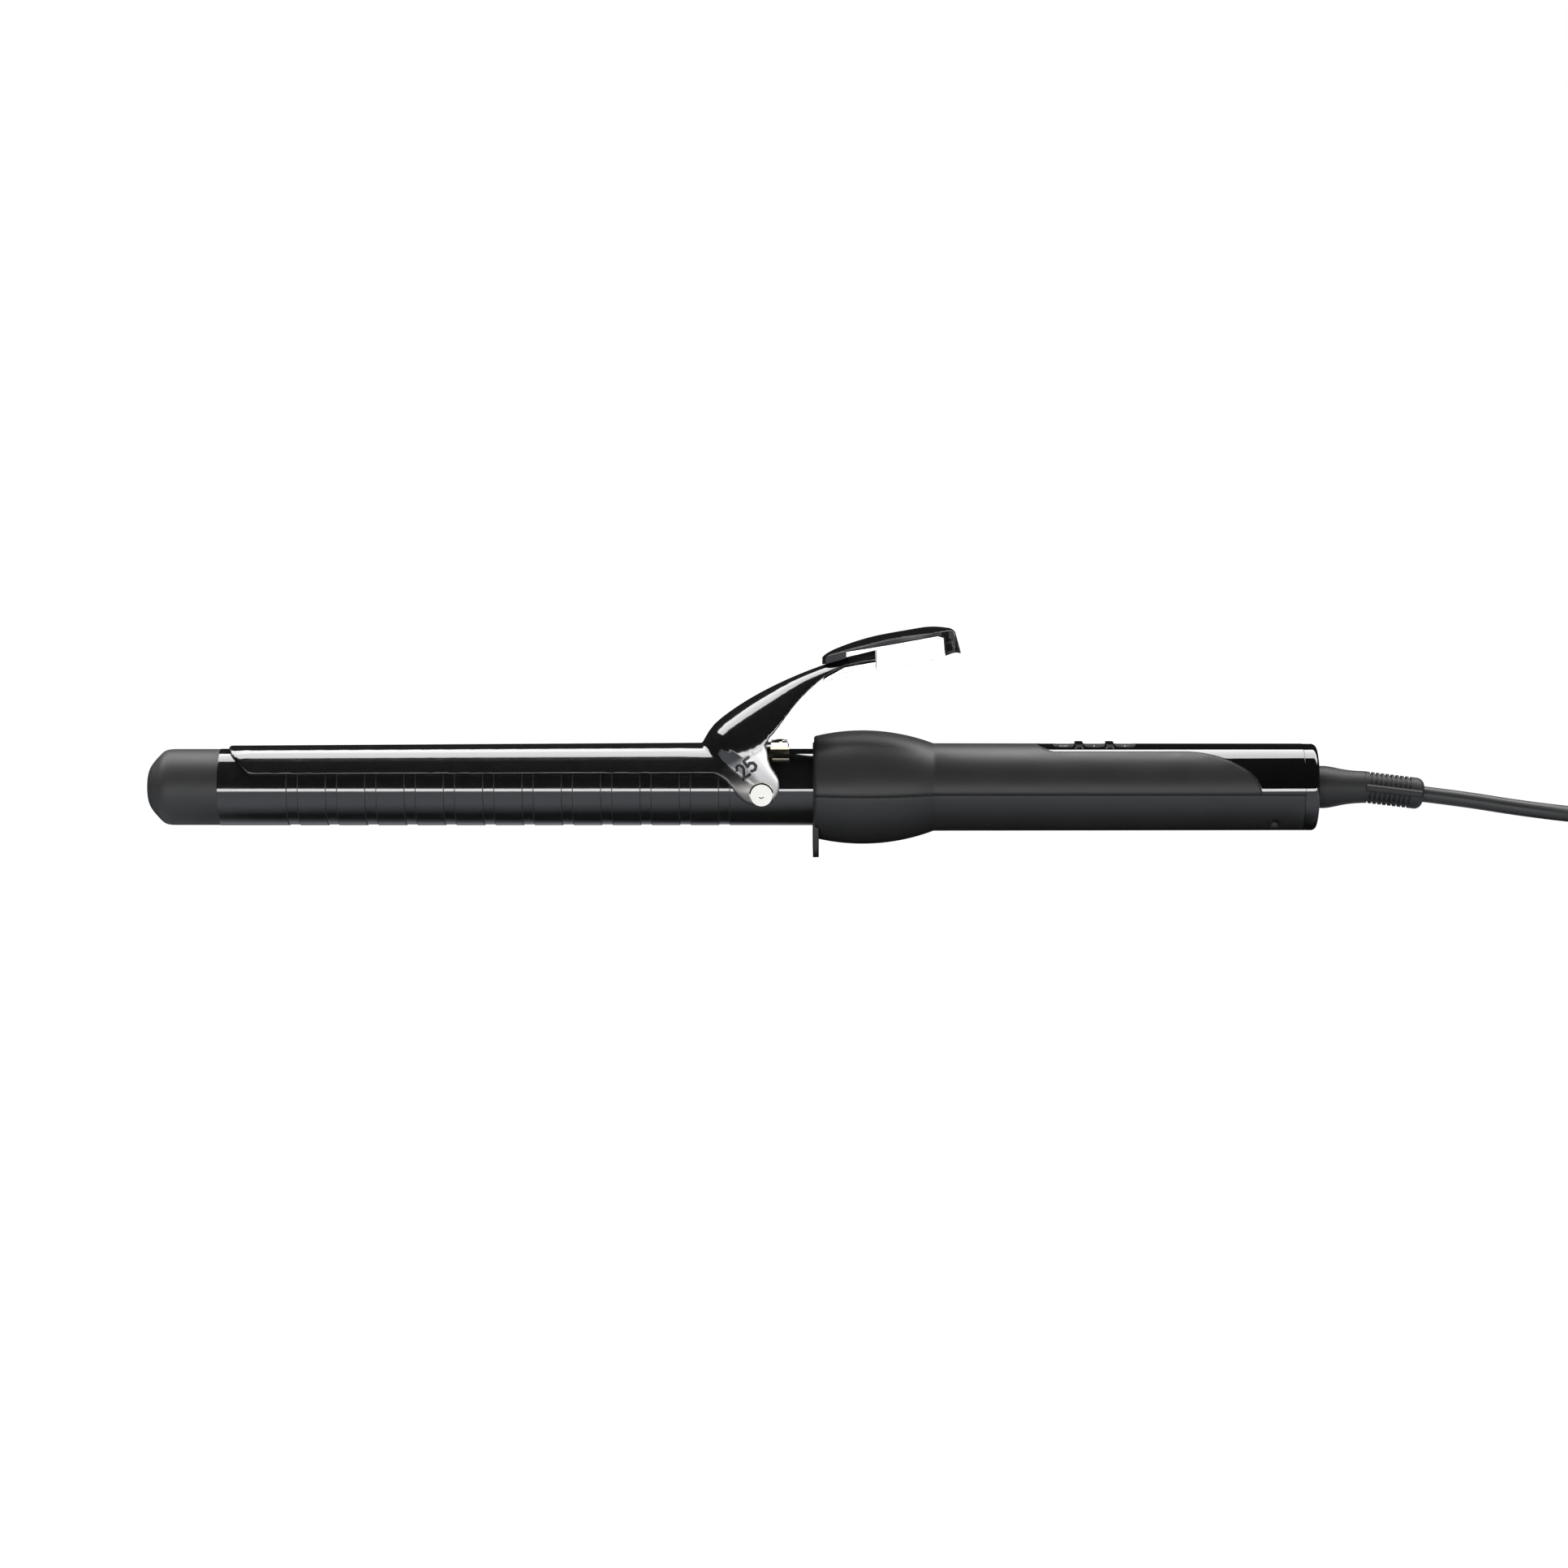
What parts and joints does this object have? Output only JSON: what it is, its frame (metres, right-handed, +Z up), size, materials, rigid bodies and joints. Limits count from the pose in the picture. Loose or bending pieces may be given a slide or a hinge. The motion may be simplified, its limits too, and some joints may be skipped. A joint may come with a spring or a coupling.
{
  "type": "curling iron",
  "caption": "Hair curling iron with a banded black barrel, a sprung clamp with a thumb rest, a rest foot, push buttons and a swivel cord with a mains plug.",
  "frame": {"origin": "middle of the iron's outline, on the surface that it rests on", "axes": "+X from the barrel's tip towards the cord, +Z up, +Y away from the side with the stamped pivot ear"},
  "size_m": [0.7482, 0.0496, 0.0713],
  "materials": {
    "heatproof_plastic": "matt black heat-resistant moulding",
    "black_enamel": "glossy black ceramic enamel on metal",
    "raw_aluminium": "extruded",
    "ceramic": "fired ceramic",
    "bright_metal": "polished nickel or chrome plate",
    "plated_steel": "yellow-tinted zinc plate",
    "spring_steel": "bright rolled spring steel",
    "handle_plastic": "soft-touch matt black",
    "gloss_black": "high-gloss black",
    "button_rubber": "matt dark grey keys",
    "inner_plastic": "glass-filled nylon",
    "board": "green solder mask",
    "lead_sleeve": "glass-fibre sleeve",
    "cord_rubber": "matt black rubber",
    "tie_band": "woven strap",
    "plug_plastic": "matt black moulded plug",
    "pin_brass": "nickelled brass"
  },
  "bodies": {
    "iron": {"tip_cap": "heatproof_plastic", "barrel": "black_enamel", "heat_spreader_upper": "raw_aluminium", "heat_spreader_lower": "raw_aluminium", "heater_stones": "ceramic", "heater_electrodes": "raw_aluminium", "temperature_sensor": "ceramic", "thermal_fuse": "bright_metal", "barrel_collar": "inner_plastic", "heater_leads": "lead_sleeve", "pivot_bracket": "plated_steel", "pivot_screws": "bright_metal", "return_spring": "spring_steel", "spring_screw": "plated_steel", "rest_foot": "handle_plastic", "handle_upper": "handle_plastic", "handle_lower": "handle_plastic", "handle_screws": "plated_steel", "gloss_cover": "gloss_black", "end_ring": "gloss_black", "circuit_board": "board", "tact_switches": "inner_plastic", "board_components": "inner_plastic", "supply_leads": "lead_sleeve", "swivel_socket": "inner_plastic"},
    "clamp": {"clamp": "black_enamel", "thumb_cover": "handle_plastic", "thumb_liner": "bright_metal", "thumb_clip": "bright_metal"},
    "button_power": {"button_power": "button_rubber"},
    "button_minus": {"button_minus": "button_rubber"},
    "button_plus": {"button_plus": "button_rubber"},
    "cord_set": {"swivel_hub": "gloss_black", "strain_relief": "cord_rubber", "cord": "cord_rubber", "cord_hank": "cord_rubber", "cord_tail": "cord_rubber", "cord_tie": "tie_band", "plug_body": "plug_plastic", "plug_pins": "pin_brass"}
  },
  "joints": [
    {"name": "clamp_pivot", "type": "hinge", "parent": "iron", "child": "clamp", "pos_m": [-0.00792, 0, 0.022], "axis": [0, 1, 0], "range_deg": [0, 23], "stiffness_Nm_per_rad": 0.5, "springref_deg": -28.65, "deforming": ["return_spring"]},
    {"name": "button_power_press", "type": "slide", "parent": "iron", "child": "button_power", "axis": [-0.0442, 0, -0.999], "range_m": [0, 0.0006], "stiffness_N_per_m": 600, "springref_m": -0.0005},
    {"name": "button_minus_press", "type": "slide", "parent": "iron", "child": "button_minus", "axis": [-0.0442, 0, -0.999], "range_m": [0, 0.0006], "stiffness_N_per_m": 600, "springref_m": -0.0005},
    {"name": "button_plus_press", "type": "slide", "parent": "iron", "child": "button_plus", "axis": [-0.0442, 0, -0.999], "range_m": [0, 0.0006], "stiffness_N_per_m": 600, "springref_m": -0.0005},
    {"name": "cord_swivel", "type": "hinge", "parent": "iron", "child": "cord_set", "pos_m": [0.169, 0, 0.01417], "axis": [0.999, 0, -0.0442], "continuous": true}
  ]
}
